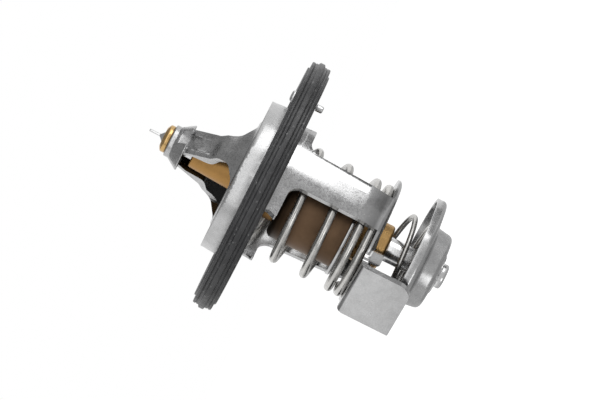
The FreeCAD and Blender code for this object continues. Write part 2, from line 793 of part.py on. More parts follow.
def guide_packing():
    """Rubber packing that seals the piston at the top of the chamber."""
    outer = CHAMBER_RADIUS - ASSEMBLY
    return tube(outer, PISTON_RADIUS + RUNNING, CHAMBER_TOP - PACKING_THICKNESS, CHAMBER_TOP)


def scraper_washer():
    """Low-friction washer under the packing."""
    high = CHAMBER_TOP - PACKING_THICKNESS
    outer = CHAMBER_RADIUS - ASSEMBLY
    return tube(outer, PISTON_RADIUS + RUNNING, high - SCRAPER_THICKNESS, high)


def boot_tip():
    """Height of the closed end inside the boot."""
    step = HUB_HEIGHT - BUSH_BODY_LENGTH + BUSH_STEP - CONTACT
    return step - PISTON_LENGTH - BOOT_TIP_GAP


def rubber_boot():
    """Boot around the piston: plug in the chamber, clamped flange, closed sleeve."""
    top = CHAMBER_TOP - PACKING_THICKNESS - SCRAPER_THICKNESS
    flange_top = NECK_END - GUIDE_FOOT_THICKNESS
    flange_low = flange_top - BOOT_FLANGE_THICKNESS
    inner = PISTON_RADIUS + 2 * RUNNING
    low = boot_tip() - BOOT_WALL_END
    corners = [
        (inner, top, 0),
        (CHAMBER_RADIUS - ASSEMBLY, top, 0),
        (CHAMBER_RADIUS - ASSEMBLY, flange_top, 0),
        (CAN_RADIUS - CAN_WALL - ASSEMBLY, flange_top, 0),
        (CAN_RADIUS - CAN_WALL - ASSEMBLY, flange_low, 0),
        (BOOT_RADIUS, flange_low, 0),
        (BOOT_RADIUS, low, BOOT_END_ROUND),
        (0, low, 0),
        (0, boot_tip(), 0),
        (inner, boot_tip(), BOOT_BORE_ROUND),
    ]
    return turned(corners)


def wax_can():
    """Bronze can crimped over the foot of the guide, with a rolled shoulder."""
    mouth = NECK_RADIUS + ASSEMBLY
    corners = [
        (mouth, CAN_TOP, CAN_EDGE),
        (CAN_RADIUS, CAN_TOP, CAN_SHOULDER),
        (CAN_RADIUS, CAN_END, 0),
        (CAN_RADIUS - CAN_WALL, CAN_END, 0),
        (CAN_RADIUS - CAN_WALL, CAN_SHOULDER_END, 0),
        (GUIDE_FOOT_RADIUS + ASSEMBLY, CAN_SHOULDER_END, 0),
        (GUIDE_FOOT_RADIUS + ASSEMBLY, NECK_END + ASSEMBLY, 0),
        (mouth, NECK_END + ASSEMBLY, 0),
    ]
    return turned(corners)


def wax_charge():
    """Wax that fills the can and the tail around the boot."""
    flange_low = NECK_END - GUIDE_FOOT_THICKNESS - BOOT_FLANGE_THICKNESS - ASSEMBLY
    wall = CAN_RADIUS - CAN_WALL - ASSEMBLY
    can_floor = CAN_END + TAIL_FLANGE_THICKNESS + ASSEMBLY
    tail_bore = TAIL_RADIUS - TAIL_WALL - ASSEMBLY
    tail_floor = TAIL_END + TAIL_END_THICKNESS + ASSEMBLY
    boot_low = boot_tip() - BOOT_WALL_END - ASSEMBLY
    corners = [
        (BOOT_RADIUS + ASSEMBLY, flange_low, 0),
        (wall, flange_low, 0),
        (wall, can_floor, 0),
        (tail_bore, can_floor, 0),
        (tail_bore, tail_floor, WAX_ROUND),
        (0, tail_floor, 0),
        (0, boot_low, 0),
        (BOOT_RADIUS + ASSEMBLY, boot_low, BOOT_END_ROUND),
    ]
    return turned(corners)


def can_end_ring():
    """Steel ring that closes the lower end of the can."""
    low = CAN_END - END_RING_THICKNESS
    inner = TAIL_COLLAR_RADIUS + ASSEMBLY
    corners = [
        (inner, CAN_END, 0),
        (END_RING_RADIUS, CAN_END, END_RING_EDGE),
        (END_RING_RADIUS, low, END_RING_EDGE),
        (inner, low, 0),
    ]
    return turned(corners)


def tail_cup():
    """Brass tail of the can, with a collar that stops the bypass spring."""
    bore = TAIL_RADIUS - TAIL_WALL
    flange_top = CAN_END + TAIL_FLANGE_THICKNESS
    floor = TAIL_END + TAIL_END_THICKNESS
    spigot = STEM_SPIGOT_RADIUS + ASSEMBLY
    blind = TAIL_END + STEM_SPIGOT_LENGTH + ASSEMBLY
    corners = [
        (bore, flange_top, TAIL_BORE_ROUND),
        (TAIL_FLANGE_RADIUS, flange_top, 0),
        (TAIL_FLANGE_RADIUS, CAN_END, 0),
        (TAIL_COLLAR_RADIUS, CAN_END, 0),
        (TAIL_COLLAR_RADIUS, TAIL_COLLAR_END, TAIL_EDGE),
        (TAIL_RADIUS, TAIL_COLLAR_END, 0),
        (TAIL_RADIUS, TAIL_END, TAIL_ROUND),
        (spigot, TAIL_END, 0),
        (spigot, blind, 0),
        (0, blind, 0),
        (0, floor, 0),
        (bore, floor, TAIL_FLOOR_ROUND),
    ]
    return turned(corners)


def stem_end():
    """Height of the free end of the stem."""
    return CUP_END - CONTACT - STEM_CLIP_THICKNESS - STEM_HEAD_LENGTH


def bypass_stem():
    """Steel stem pressed into the tail, grooved for its clip, with a peened end."""
    groove_top = CUP_END - CONTACT + ASSEMBLY
    groove_low = CUP_END - CONTACT - STEM_CLIP_THICKNESS - ASSEMBLY
    groove = STEM_RADIUS - STEM_GROOVE_DEPTH
    corners = [
        (0, TAIL_END + STEM_SPIGOT_LENGTH, 0),
        (STEM_SPIGOT_RADIUS, TAIL_END + STEM_SPIGOT_LENGTH, STEM_SPIGOT_EDGE),
        (STEM_SPIGOT_RADIUS, TAIL_END, 0),
        (STEM_RADIUS, TAIL_END, 0),
        (STEM_RADIUS, groove_top, 0),
        (groove, groove_top, 0),
        (groove, groove_low, 0),
        (STEM_RADIUS, groove_low, 0),
        (STEM_RADIUS, stem_end(), STEM_HEAD_ROUND),
        (0, stem_end() - ASSEMBLY, 0),
    ]
    return turned(corners)


def stem_clip():
    """Toothed clip snapped into the stem's groove."""
    high = CUP_END - CONTACT
    low = high - STEM_CLIP_THICKNESS
    inner = STEM_RADIUS - STEM_GROOVE_DEPTH + ASSEMBLY
    body = open_ring(STEM_CLIP_RADIUS, inner, low, high, STEM_CLIP_MOUTH, STEM_CLIP_MOUTH_ANGLE)
    notches = []
    for angle in STEM_CLIP_NOTCH_ANGLES:
        place = V(STEM_CLIP_RADIUS, 0, low)
        notch = Part.makeCylinder(STEM_CLIP_NOTCH, STEM_CLIP_THICKNESS, place)
        notches.append(about_axis(notch, angle))
    return body.cut(notches)


def disc_web_height():
    """Height of the inner face of the disc where its spring rests."""
    outer = DISC_RIM_TOP - DISC_RIM_HEIGHT
    slope = DISC_WEB_DROP / (DISC_RADIUS - CUP_MOUTH_RADIUS)
    reach = BYPASS_LARGE_RADIUS + BYPASS_WIRE / 2 - DISC_RADIUS
    return outer + slope * reach + DISC_SHEET * math.hypot(1, slope)


def bypass_disc():
    """Pressed bypass disc: raised rim, coned web and a cup that slides on the stem."""
    rim_low = DISC_RIM_TOP - DISC_RIM_HEIGHT
    path = [
        (DISC_RADIUS, DISC_RIM_TOP, 0),
        (DISC_RADIUS, rim_low, DISC_RIM_BEND),
        (CUP_MOUTH_RADIUS, rim_low - DISC_WEB_DROP, CUP_MOUTH_BEND),
        (CUP_END_RADIUS, CUP_END, CUP_CORNER),
        (STEM_RADIUS + RUNNING, CUP_END, 0),
    ]
    return turned(sheet(path, DISC_SHEET))


def bypass_radius(place):
    """Radius of the bypass spring, which widens from the tail to the disc."""
    widening = smooth_step(place, BYPASS_WIDEN_START, BYPASS_WIDEN_END)
    return BYPASS_SMALL_RADIUS + (BYPASS_LARGE_RADIUS - BYPASS_SMALL_RADIUS) * widening


def no_shift(place):
    """Shift of a spring that stays on the axis."""
    return 0.0


def bypass_spring():
    """Tapered coil spring: small end round the tail, large end on the disc."""
    high = TAIL_COLLAR_END - BYPASS_WIRE / 2 - CONTACT
    low = disc_web_height() + BYPASS_WIRE / 2 + CONTACT
    return wound_wire(high, low, BYPASS_DROPS, BYPASS_HALF_TURNS, bypass_radius, no_shift, BYPASS_WIRE)


def jiggle_pin():
    """Loose pin with a round head above the flange and a bulb below it."""
    head_low = BRIDGE_SHEET + CONTACT
    foot = head_low + JIGGLE_FOOT_HEIGHT
    corners = [
        (0, head_low + JIGGLE_HEAD_HEIGHT, 0),
        (JIGGLE_HEAD_RADIUS, head_low + JIGGLE_HEAD_HEIGHT, JIGGLE_HEAD_ROUND),
        (JIGGLE_HEAD_RADIUS, foot, JIGGLE_FOOT_SET_BACK),
        (JIGGLE_HEAD_RADIUS - JIGGLE_FOOT_SET_BACK, head_low, 0),
        (JIGGLE_SHAFT_RADIUS, head_low, 0),
        (JIGGLE_SHAFT_RADIUS, JIGGLE_BULB_TOP, 0),
        (JIGGLE_BULB_RADIUS, JIGGLE_BULB_TOP, JIGGLE_BULB_EDGE),
        (JIGGLE_BULB_RADIUS, JIGGLE_BULB_END, JIGGLE_BULB_ROUND),
        (0, JIGGLE_BULB_END, 0),
    ]
    pin = turned(corners)
    pin.translate(V(JIGGLE_PLACE, 0, 0))
    return about_axis(pin, JIGGLE_ANGLE)


PIECES = {
    "upper_bridge": upper_bridge,
    "lower_frame": lower_frame,
    "flange_seal": flange_seal,
    "piston_bush": piston_bush,
    "piston": piston,
    "main_spring": main_spring,
    "main_valve_plate": main_valve_plate,
    "main_valve_seal": main_valve_seal,
    "valve_washer": valve_washer,
    "valve_clip": valve_clip,
    "piston_guide": piston_guide,
    "guide_packing": guide_packing,
    "scraper_washer": scraper_washer,
    "rubber_boot": rubber_boot,
    "wax_can": wax_can,
    "wax_charge": wax_charge,
    "can_end_ring": can_end_ring,
    "tail_cup": tail_cup,
    "bypass_stem": bypass_stem,
    "stem_clip": stem_clip,
    "bypass_spring": bypass_spring,
    "bypass_disc": bypass_disc,
    "jiggle_pin": jiggle_pin,
}


def main():
    os.makedirs("parts", exist_ok=True)
    for name, make in PIECES.items():
        shape = make()
        print(name, len(shape.Solids), "solid,", round(shape.Volume, 1), "mm3,", shape.isValid())
        shape.exportStep("parts/" + name + ".step")


main()
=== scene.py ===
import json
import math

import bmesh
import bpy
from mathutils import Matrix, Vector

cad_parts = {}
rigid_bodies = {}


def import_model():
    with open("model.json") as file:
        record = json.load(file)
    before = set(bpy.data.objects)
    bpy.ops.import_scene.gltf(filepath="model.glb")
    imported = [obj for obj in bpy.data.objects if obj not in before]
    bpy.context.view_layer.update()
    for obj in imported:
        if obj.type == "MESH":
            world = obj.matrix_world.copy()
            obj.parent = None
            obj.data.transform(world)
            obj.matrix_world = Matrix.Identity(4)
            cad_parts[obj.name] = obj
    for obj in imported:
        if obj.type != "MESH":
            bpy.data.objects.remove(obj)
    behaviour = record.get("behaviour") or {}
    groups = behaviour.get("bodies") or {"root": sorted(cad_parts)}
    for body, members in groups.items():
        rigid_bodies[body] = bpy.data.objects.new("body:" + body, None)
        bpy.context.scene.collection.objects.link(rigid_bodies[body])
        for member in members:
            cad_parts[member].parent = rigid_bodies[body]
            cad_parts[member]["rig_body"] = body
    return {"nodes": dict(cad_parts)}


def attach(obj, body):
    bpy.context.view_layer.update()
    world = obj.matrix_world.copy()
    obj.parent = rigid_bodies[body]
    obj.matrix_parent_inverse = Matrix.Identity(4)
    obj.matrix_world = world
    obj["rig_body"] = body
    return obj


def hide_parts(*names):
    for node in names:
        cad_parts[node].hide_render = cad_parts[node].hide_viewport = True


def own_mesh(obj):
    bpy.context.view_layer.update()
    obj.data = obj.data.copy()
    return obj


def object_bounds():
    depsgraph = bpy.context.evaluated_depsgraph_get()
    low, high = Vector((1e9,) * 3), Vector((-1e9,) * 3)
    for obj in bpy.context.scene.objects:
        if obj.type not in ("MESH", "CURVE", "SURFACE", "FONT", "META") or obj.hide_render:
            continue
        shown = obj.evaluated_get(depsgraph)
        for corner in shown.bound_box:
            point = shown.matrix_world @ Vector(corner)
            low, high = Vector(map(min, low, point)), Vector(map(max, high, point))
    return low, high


bl_info = {
    "name": "Engine thermostat studio",
    "version": (1, 0, 0),
    "blender": (4, 5, 0),
    "location": "3D View > Sidebar > Thermostat",
    "description": "Dresses the packed engine thermostat and sets up its studio",
    "category": "Object",
}

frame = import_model()
CAD_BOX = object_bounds()

MM = 0.001

# Copy of the bridge, in metres: corner of the dome
DOME_INNER = 0.0157
DOME_CORNER_LOW = 0.00485
DOME_CORNER = 0.001
CORNER_FILL = 1.3

# Feet of its legs, from the top of the flare to the knee
FLARE_TOP = 0.0108
FLARE_MARGIN = 0.0001
FLARE_REACH = 0.0085
LEG_SLOPE = 1.64
KNEE = 0.0125
LEG_INNER = 0.005
LEG_SIDE = 0.003

# Channels of its legs: where they are softened, longest edge of the net there, rounds of cutting and of
# smoothing, and how far a point that is smoothed may look inward and down
CHANNEL_INNER = 0.004
CHANNEL_LOW = 0.0092
CHANNEL_HIGH = 0.0172
CHANNEL_SIDE = 0.0021
CHANNEL_NET = 0.0004
NET_ROUNDS = 5
SOFT_PASSES = 22
LEAST_OUTWARD = -0.1
LEAST_UPWARD = -0.2

# Skirt of its hub
SKIRT_LOW = 0.01745
SKIRT_HIGH = 0.0201
SKIRT_OUTER = 0.00525
SKIRT_TAPER = 0.00175

# Copy of the frame, in metres: feet and legs
FOOT_OUTER = 0.0161
FOOT_INNER = 0.0135
FOOT_SHEET = 0.0012
FOOT_STEP = 0.001
FOOT_TOP = -0.0036
FOOT_LOW = -0.0058
LEG_TURN = -0.0202

# Cleaning of meshes: distances in metres at which points are one, and the angle up to which faces are flat
CAD_WELD = 2e-6
CAD_SLIVER = 1e-6
WELD = 1e-7
SLIVER = 1e-8
FLAT = math.radians(0.6)

# Roundings in metres: of small dressed pieces, the smallest one made, the share of an edge that one may take,
# and the radius above which one gets more segments
SMALL_ROUNDING = 0.00005
LEAST_TRIM = 1e-6
TRIM_SHARE = 0.49
LARGE_CORNER = 0.0006

# Springs, in millimetres: height at both ends, number of half turns, radius at both ends, the half turns between
# which it changes, sideways shift at both ends, and the share of the fall that is done at every half turn
COIL_START_ANGLE = -117.0
COIL_POINTS = 40
MAIN_COIL = {
    "high": 0.455, "low": -23.905, "half_turns": 10.15, "radii": (11.92, 11.92), "widen": (0, 1),
    "shifts": (0.3, 0.65), "drops": (0, 0.023, 0.103, 0.328, 0.387, 0.612, 0.671, 0.883, 0.908, 1, 1, 1),
}
BYPASS_COIL = {
    "high": -24.995, "low": -35.342, "half_turns": 6.0, "radii": (5.6, 8.5), "widen": (0.9, 2.6),
    "shifts": (0, 0), "drops": (0, 0.014, 0.244, 0.594, 0.784, 1, 1),
}

# Half sections of the turned pieces: distance from the axis, height and rounding, in millimetres
HALF_SECTIONS = {
    "flange_seal": (
        (28.3, 0.5, 0.1), (27.8, 0.75, 0.1), (27.8, 1.2, 0), (27.62, 1.35, 0), (27.8, 1.5, 0),
        (27.8, 2.05, 0.25), (26.3, 2.05, 0.1), (26.3, 2.45, 0.25), (22, 2.45, 0.25), (22, 1, 0),
        (26.03, 1, 0), (26.03, -1.2, 0), (22, -1.2, 0), (22, -2.45, 0.25), (26.3, -2.45, 0.25),
        (26.3, -2.05, 0.1), (27.8, -2.05, 0.25), (27.8, -1.5, 0), (27.62, -1.35, 0), (27.8, -1.2, 0),
        (27.8, -0.75, 0.1), (28.3, -0.5, 0.1)),
    "piston_bush": (
        (1.88, 19.2, 0), (2.55, 19.2, 0.2), (2.55, 21.2, 0), (3, 21.2, 0.2), (3, 22.2, 0.4),
        (2.1, 22.7, 0.4), (1.23, 22.7, 0), (1.23, 20.2, 0), (1.88, 20.2, 0)),
    "piston": (
        (0, -15.82, 0), (1.85, -15.82, 0.8), (1.85, 20.18, 0), (1.2, 20.18, 0), (1.2, 22.7, 0.2),
        (0.3, 23.45, 0.4), (0.3, 25.9, 0.25), (0, 25.9, 0)),
    "main_valve_plate": (
        (4.23, 1.4, 0), (13.5, 1.4, 1.2), (13.5, 4.2, 0), (12.5, 4.2, 0), (12.5, 2.4, 0.2), (4.23, 2.4, 0)),
    "main_valve_seal": (
        (14.2, 3.23, 0.4), (14.2, 4.83, 0.4), (11.8, 4.83, 0.4), (11.8, 3.23, 0.4), (12.47, 3.23, 0),
        (12.47, 4.23, 0), (13.53, 4.23, 0), (13.53, 3.23, 0)),
    "piston_guide": (
        (1.9, 15.6, 0.2), (3.2, 15.6, 0.4), (3.8, 5, 0.2), (4.2, 5, 0.2), (4.2, 3.9, 0), (3.85, 3.9, 0),
        (3.85, 3.1, 0), (4.2, 3.1, 0), (4.2, 1.4, 0), (5.7, 1.4, 0.2), (5.7, -6.3, 0), (6.9, -6.3, 0.2),
        (6.9, -7.3, 0), (3.4, -7.3, 0), (3.4, -2, 0), (1.9, -2, 0)),
    "wax_can": (
        (5.73, -5, 0.2), (8.7, -5, 2), (8.7, -19.7, 0), (7.9, -19.7, 0), (7.9, -7.2, 0), (6.93, -7.2, 0),
        (6.93, -6.27, 0), (5.73, -6.27, 0)),
    "can_end_ring": ((5.43, -19.7, 0), (10.35, -19.7, 0.15), (10.35, -20.5, 0.15), (5.43, -20.5, 0)),
    "tail_cup": (
        (4.1, -18.9, 0.3), (7.8, -18.9, 0), (7.8, -19.7, 0), (5.4, -19.7, 0), (5.4, -24.4, 0.15),
        (4.9, -24.4, 0), (4.9, -28.8, 0.6), (1.53, -28.8, 0), (1.53, -26.87, 0), (0, -26.87, 0),
        (0, -26.4, 0), (4.1, -26.4, 0.5)),
    "bypass_stem": (
        (0, -26.9, 0), (1.5, -26.9, 0.2), (1.5, -28.8, 0), (2.7, -28.8, 0), (2.7, -40.39, 0),
        (2.2, -40.39, 0), (2.2, -40.95, 0), (2.7, -40.95, 0), (2.7, -42.42, 0.5), (0, -42.45, 0)),
    "bypass_disc": (
        (14.2, -33.9, 0), (14.2, -36, 0.9), (8.7, -36.8, 0.6), (8.2, -40.4, 1.2), (2.75, -40.4, 0),
        (2.75, -39.6, 0), (7.503, -39.6, 0.4), (7.99, -36.095, 1.4), (13.4, -35.308, 0.1), (13.4, -33.9, 0)),
}


class StageSizes(bpy.types.PropertyGroup):
    azimuth: bpy.props.FloatProperty(
        name="Azimuth", description="Direction that the camera looks from, in degrees", default=63.0)
    elevation: bpy.props.FloatProperty(
        name="Elevation", description="Height of the camera above the flange plane, in degrees", default=1.45)
    tilt: bpy.props.FloatProperty(
        name="Tilt", description="Angle by which the axis dips below the horizontal, in degrees", default=26.7)
    distance: bpy.props.FloatProperty(
        name="Distance", description="Distance from the camera to the middle of the view", default=0.600,
        subtype="DISTANCE", unit="LENGTH")
    lens: bpy.props.FloatProperty(
        name="Lens", description="Focal length of the camera", default=173.7)
    middle: bpy.props.FloatVectorProperty(
        name="Middle", description="Point that the camera looks at", size=3,
        default=(0.00044, 0.00087, -0.0084), subtype="TRANSLATION", unit="LENGTH")
    floor_gap: bpy.props.FloatProperty(
        name="Floor gap", description="Distance from the lowest point down to the floor", default=0.055,
        subtype="DISTANCE", unit="LENGTH")


class FinishColours(bpy.types.PropertyGroup):
    steel: bpy.props.FloatVectorProperty(
        name="Steel", description="Pressed stainless steel", size=3, default=(0.54, 0.54, 0.542), subtype="COLOR")
    wire: bpy.props.FloatVectorProperty(
        name="Wire", description="Drawn spring wire", size=3, default=(0.60, 0.59, 0.57), subtype="COLOR")
    rubber: bpy.props.FloatVectorProperty(
        name="Rubber", description="Moulded rubber", size=3, default=(0.010, 0.010, 0.011), subtype="COLOR")
    bush: bpy.props.FloatVectorProperty(
        name="Bush brass", description="Brass of the bush", size=3, default=(0.64, 0.42, 0.18), subtype="COLOR")
    guide: bpy.props.FloatVectorProperty(
        name="Guide brass", description="Brass of the guide", size=3, default=(0.46, 0.26, 0.09), subtype="COLOR")
    tail: bpy.props.FloatVectorProperty(
        name="Tail brass", description="Brass of the tail", size=3, default=(0.62, 0.38, 0.15), subtype="COLOR")
    can: bpy.props.FloatVectorProperty(
        name="Can bronze", description="Dark bronze of the can", size=3, default=(0.16, 0.10, 0.06), subtype="COLOR")


class PieceSizes(bpy.types.PropertyGroup):
    rounding: bpy.props.FloatProperty(
        name="Edge rounding", description="Rounding of stamped edges", default=0.00022,
        subtype="DISTANCE", unit="LENGTH")
    break_edge: bpy.props.FloatProperty(
        name="Broken edge", description="Smallest rounding of a turned corner", default=0.00006,
        subtype="DISTANCE", unit="LENGTH")
    sharp: bpy.props.FloatProperty(
        name="Sharp angle", description="Smallest angle that counts as an edge", default=math.radians(42),
        subtype="ANGLE", unit="ROTATION")
    steps: bpy.props.IntProperty(
        name="Steps", description="Faces around a turned piece", default=192, min=48, max=512)
    main_wire: bpy.props.FloatProperty(
        name="Main wire", description="Thickness of the main spring's wire", default=0.00185,
        subtype="DISTANCE", unit="LENGTH")
    bypass_wire: bpy.props.FloatProperty(
        name="Bypass wire", description="Thickness of the bypass spring's wire", default=0.00115,
        subtype="DISTANCE", unit="LENGTH")


# How squarely a face looks back to the axis where its painted inner shade starts and where it is full
INWARD_START = -0.45
INWARD_FULL = -0.6

# Cards around the part: name, place down the axis, up and to the camera in metres, what the card is square to,
# width, height, level
CARDS = (
    ("near_card", (0, 0, 0.75), "near", 1.50, 2.40, 0.60),
    ("left_card", (-0.30, 0, 0), "down", 0.85, 0.85, 0.31),
    ("floor_card", (0.087, 0, 0), "down", 1.50, 1.50, 0.60),
    ("under_card", (0.084, 0, 0), "down", 0.13, 0.13, 0.42),
    ("cup_box", (0.085, -0.07, 0.13), "down", 0.08, 0.08, 2.6),
    ("upper_box", (0.045, 0.38, 0.185), "middle", 0.22, 0.30, 3.4),
    ("top_card", (0.046, 0.30, -0.07), "up", 0.080, 0.20, 0.18),
    ("strip_box", (-0.125, 0.06, 0.48), "middle", 0.17, 1.20, 1.6),
    ("stem_flag", (0.0245, -0.0340, -0.0190), "up", 0.0125, 0.044, 0.02),
    ("rim_flag", (0.0278, 0.030, 0.0175), "up", 0.011, 0.027, 0.35),
)

# Lamps: name, place to the right, up and back in the picture in metres, width, height, power in watts
LAMPS = (
    ("key_box", (-0.15, 0.45, 0.25), 0.35, 0.35, 3.0),
    ("fill_box", (-0.35, -0.05, 0.35), 0.3, 0.3, 1.5),
)

# Light of the white world on the part, glow of the floor to camera and gloss, half the floor's side in metres
WORLD_LIGHT = 0.55
FLOOR_GLOW = 0.5
FLOOR_HALF = 3.0


def stage_sizes():
    return bpy.context.scene.thermostat_stage


def colours():
    return bpy.context.scene.thermostat_colours


def sizes_of_pieces():
    return bpy.context.scene.thermostat_pieces


def linked(name, data):
    """New object in the scene."""
    item = bpy.data.objects.new(name, data)
    bpy.context.scene.collection.objects.link(item)
    return item


def shade(mesh):
    """Smooth shading with sharp edges where the form turns."""
    for face in mesh.polygons:
        face.use_smooth = True
    mesh.set_sharp_from_angle(angle=sizes_of_pieces().sharp)


class NodeSheet:
    """Node tree of one material, with short ways to add and join its nodes."""

    def __init__(self, name):
        self.material = bpy.data.materials.new(name)
        self.material.use_nodes = True
        self.tree = self.material.node_tree
        self.shader = self.tree.nodes["Principled BSDF"]
        coordinates = self.tree.nodes.new("ShaderNodeTexCoord")
        self.place = coordinates.outputs["Object"]
        self.normal = coordinates.outputs["Normal"]

    def add(self, kind, inputs=None, **settings):
        node = self.tree.nodes.new(kind)
        for key, value in settings.items():
            setattr(node, key, value)
        for key, value in (inputs or {}).items():
            if isinstance(value, bpy.types.NodeSocket):
                self.tree.links.new(value, node.inputs[key])
            else:
                node.inputs[key].default_value = value
        return node

    def set(self, **values):
        for key, value in values.items():
            socket = self.shader.inputs[key.replace("_", " ")]
            if isinstance(value, bpy.types.NodeSocket):
                self.tree.links.new(value, socket)
            else:
                socket.default_value = value

    def noise(self, scale, detail=3.0, roughness=0.6, place=None):
        node = self.add("ShaderNodeTexNoise", {
            "Vector": place or self.place, "Scale": scale, "Detail": detail, "Roughness": roughness})
        return node.outputs["Fac"]

    def stretched(self, x, y, z):
        """Object coordinates scaled along each axis."""
        return self.add("ShaderNodeMapping", {"Vector": self.place, "Scale": (x, y, z)}).outputs["Vector"]

    def part(self, axis):
        return self.add("ShaderNodeSeparateXYZ", {"Vector": self.place}).outputs[axis]

    def math(self, operation, first, second=0.0):
        return self.add("ShaderNodeMath", {0: first, 1: second}, operation=operation).outputs["Value"]

    def inward(self):
        """Share from 0 to 1 by which a face looks back to the axis."""
        flat = self.add("ShaderNodeVectorMath", {0: self.stretched(1, 1, 0)}, operation="NORMALIZE")
        outward = self.add(
            "ShaderNodeVectorMath", {0: flat.outputs["Vector"], 1: self.normal}, operation="DOT_PRODUCT")
        return self.spread(outward.outputs["Value"], INWARD_START, INWARD_FULL, 0.0, 1.0)

    def spread(self, value, low, high, start, end):
        """Value mapped from low..high to start..end."""
        node = self.add("ShaderNodeMapRange", {
            "Value": value, "From Min": low, "From Max": high, "To Min": start, "To Max": end})
        return node.outputs["Result"]

    def blend(self, share, first, second):
        node = self.add("ShaderNodeMix", data_type="RGBA")
        for socket, value in ((node.inputs[0], share), (node.inputs[6], first), (node.inputs[7], second)):
            if isinstance(value, bpy.types.NodeSocket):
                self.tree.links.new(value, socket)
            else:
                socket.default_value = value
        return node.outputs[2]

    def bump(self, height, strength, distance, under=None):
        inputs = {"Height": height, "Strength": strength, "Distance": distance}
        if under:
            inputs["Normal"] = under
        return self.add("ShaderNodeBump", inputs).outputs["Normal"]


def opaque(colour, share=1.0):
    """Colour with alpha, darkened or lightened by a share."""
    return (colour[0] * share, colour[1] * share, colour[2] * share, 1.0)


def pressed_steel(name, gloss=0.16, grit=1.0, clean=None, inner=1.0, below=None, bend=None, bulge=None):
    """Satin pressed stainless steel: drawing marks, fine specks and dull patches, with painted shade on faces that
    look back to the axis and painted shade across a band of heights where a leg bends.
    """
    sheet = NodeSheet(name)
    steel = colours().steel
    dull = sheet.noise(260.0, 5.0, 0.7)
    specks = sheet.noise(2600.0, 2.0, 0.6)
    patch = sheet.spread(dull, 0.35, 0.7, 0.0, 1.0)
    base = sheet.blend(patch, opaque(steel, 0.82), opaque(steel, 1.06))
    pits = sheet.spread(specks, 0.38, 0.52, 0.16 * grit, 0.0)
    if clean:
        pits = sheet.math("MULTIPLY", pits, sheet.spread(sheet.part("Z"), clean[0], clean[1], 0.0, 1.0))
    grain = sheet.math("SUBTRACT", 1.0, pits)
    scaled = sheet.add("ShaderNodeVectorMath", {0: base, "Scale": grain}, operation="SCALE")
    rough = sheet.math(
        "ADD", sheet.spread(dull, 0.3, 0.75, gloss, gloss + 0.1), sheet.spread(specks, 0.3, 0.7, -0.03, 0.05))
    relief = sheet.bump(dull, 0.05, 0.0003)
    relief = sheet.bump(specks, 0.05, 0.00005, relief)
    tone = scaled.outputs["Vector"]
    # Painted shade: faces that look back to the axis take the darker inner level, standing for the shade inside.
    if inner < 1:
        painted_shade = sheet.inward()
        # The painted inner shade is kept to heights under the given span.
        if below:
            painted_shade = sheet.math("MULTIPLY", painted_shade, sheet.spread(sheet.part("Z"), below[0], below[1], 0.0, 1.0))
        tone = sheet.blend(painted_shade, tone, opaque(steel, inner))
    # Painted shade: the tone falls to half across a band of heights where the leg bends inward, standing for its
    # darker reflection there.
    if bend:
        bend_shade = sheet.spread(sheet.part("Z"), bend[0], bend[1], 1.0, 0.5)
        bend_shade = sheet.math("MAXIMUM", bend_shade, sheet.spread(sheet.part("Z"), bend[1], bend[2], 0.5, 1.0))
        tone = sheet.add("ShaderNodeVectorMath", {0: tone, "Scale": bend_shade}, operation="SCALE").outputs["Vector"]
    if bulge:
        rise = sheet.spread(sheet.part("Z"), bulge[0], bulge[1], -1.0, 1.0)
        relief = sheet.bump(sheet.math("MULTIPLY", rise, rise), 1.0, -0.00012, relief)
    sheet.set(Base_Color=tone, Metallic=1.0, Roughness=rough, Normal=relief)
    return sheet.material


def drawn_wire():
    """Drawn spring wire with a soft sheen."""
    sheet = NodeSheet("spring_wire")
    wire = colours().wire
    stain = sheet.noise(500.0, 4.0)
    base = sheet.blend(sheet.spread(stain, 0.35, 0.7, 0.0, 1.0), opaque(wire, 0.8), opaque(wire, 1.1))
    rough = sheet.spread(stain, 0.3, 0.7, 0.2, 0.32)
    sheet.set(Base_Color=base, Metallic=1.0, Roughness=rough, Normal=sheet.bump(stain, 0.08, 0.0001))
    return sheet.material


def moulded_rubber(name, dusty):
    """Moulded rubber with a grey bloom and, outside, specks of dust."""
    sheet = NodeSheet(name)
    rubber = colours().rubber
    bloom = sheet.noise(95.0, 6.0, 0.75)
    specks = sheet.noise(950.0, 4.0, 0.7)
    grey = (0.034, 0.034, 0.035, 1.0)
    base = sheet.blend(sheet.spread(bloom, 0.4, 0.75, 0.0, 0.7), opaque(rubber), grey)
    if dusty:
        dust = sheet.spread(specks, 0.62, 0.7, 0.0, 0.5)
        base = sheet.blend(dust, base, (0.2, 0.2, 0.2, 1.0))
    rough = sheet.spread(bloom, 0.35, 0.65, 0.5, 0.3)
    relief = sheet.bump(specks, 0.25, 0.0001)
    sheet.set(Base_Color=base, Metallic=0.0, Roughness=rough, Normal=relief, Specular_IOR_Level=0.5)
    return sheet.material


def turned_brass(name, colour, rough, ring_strength, painted_shade_span=None):
    """Turned brass with fine rings and a little tarnish, and painted shade towards the top when a span of heights is
    given.
    """
    sheet = NodeSheet(name)
    stain = sheet.noise(330.0, 5.0, 0.7)
    rings = sheet.noise(60.0, 2.0, 0.5, sheet.stretched(1, 1, 120))
    base = sheet.blend(sheet.spread(stain, 0.35, 0.72, 0.0, 1.0), opaque(colour, 0.8), opaque(colour, 1.1))
    # Painted shade: the colour darkens towards the top of the span, standing for shadow on that end.
    if painted_shade_span:
        painted_shade = sheet.spread(sheet.part("Z"), painted_shade_span[0], painted_shade_span[1], 0.0, 0.85)
        base = sheet.blend(painted_shade, base, opaque(colour, 0.1))
    roughness = sheet.spread(stain, 0.3, 0.7, rough - 0.05, rough + 0.1)
    relief = sheet.bump(rings, ring_strength, 0.0001)
    sheet.set(Base_Color=base, Metallic=1.0, Roughness=roughness, Normal=relief)
    return sheet.material


